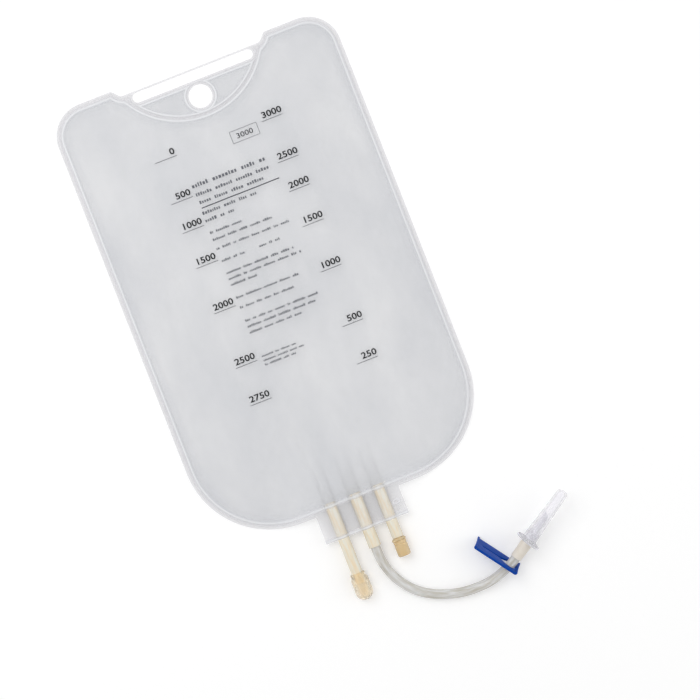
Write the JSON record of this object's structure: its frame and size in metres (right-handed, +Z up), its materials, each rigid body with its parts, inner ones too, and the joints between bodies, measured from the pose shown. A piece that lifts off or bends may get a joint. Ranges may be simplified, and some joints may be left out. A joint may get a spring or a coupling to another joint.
{
  "type": "iv fluid bag",
  "caption": "Flat, empty clear bag for intravenous fluids, with a hanging slot and hole, capped port tubes, and a fill tube with a slide clamp and a covered spike.",
  "frame": {"origin": "under the middle of the bag and its ports, on the surface that the bag lies on; the fill tube and what is on it are not counted", "axes": "+Y from the ports towards the hanger end, +X across the bag to the right as seen from its printed front, +Z up through the films, out of the printed front"},
  "size_m": [0.2742, 0.4764, 0.0248],
  "materials": {
    "bag_film": "satin translucent EVA film, printed with a black volume scale",
    "port_tubing": "pale yellow flexible tubing, translucent",
    "port_cap": "pale amber moulded cap, translucent",
    "amber_plastic": "amber moulded plastic, translucent",
    "septum_rubber": "matt tan rubber",
    "fill_tubing": "clear flexible hose, glossy",
    "clamp_plastic": "royal blue moulded plastic, satin",
    "adapter_plastic": "cream moulded plastic",
    "spike_plastic": "frosted clear moulded plastic",
    "cover_plastic": "frosted clear moulded plastic, faint lilac"
  },
  "bodies": {
    "bag": {"back_film": "bag_film", "front_film": "bag_film", "admin_port_tube": "port_tubing", "admin_membrane": "port_tubing", "fill_port_tube": "port_tubing", "fill_tube": "fill_tubing", "tube_adapter": "adapter_plastic", "filling_spike": "spike_plastic", "injection_port_tube": "port_tubing", "injection_collar": "amber_plastic", "injection_septum": "septum_rubber", "injection_cap": "amber_plastic"},
    "admin_cap": {"admin_cap": "port_cap"},
    "slide_clamp": {"slide_clamp": "clamp_plastic"},
    "spike_cover": {"spike_cover": "cover_plastic"}
  },
  "joints": [
    {"name": "admin_cap_pull", "type": "slide", "parent": "bag", "child": "admin_cap", "axis": [0, -1, 0], "range_m": [0, 0.03]},
    {"name": "clamp_slide", "type": "slide", "parent": "bag", "child": "slide_clamp", "axis": [0.5807, -0.8141, 0], "range_m": [0, 0.022], "deforming": ["fill_tube"]},
    {"name": "spike_cover_pull", "type": "slide", "parent": "bag", "child": "spike_cover", "axis": [0.8248, 0.5521, 0.1219], "range_m": [0, 0.05]}
  ]
}
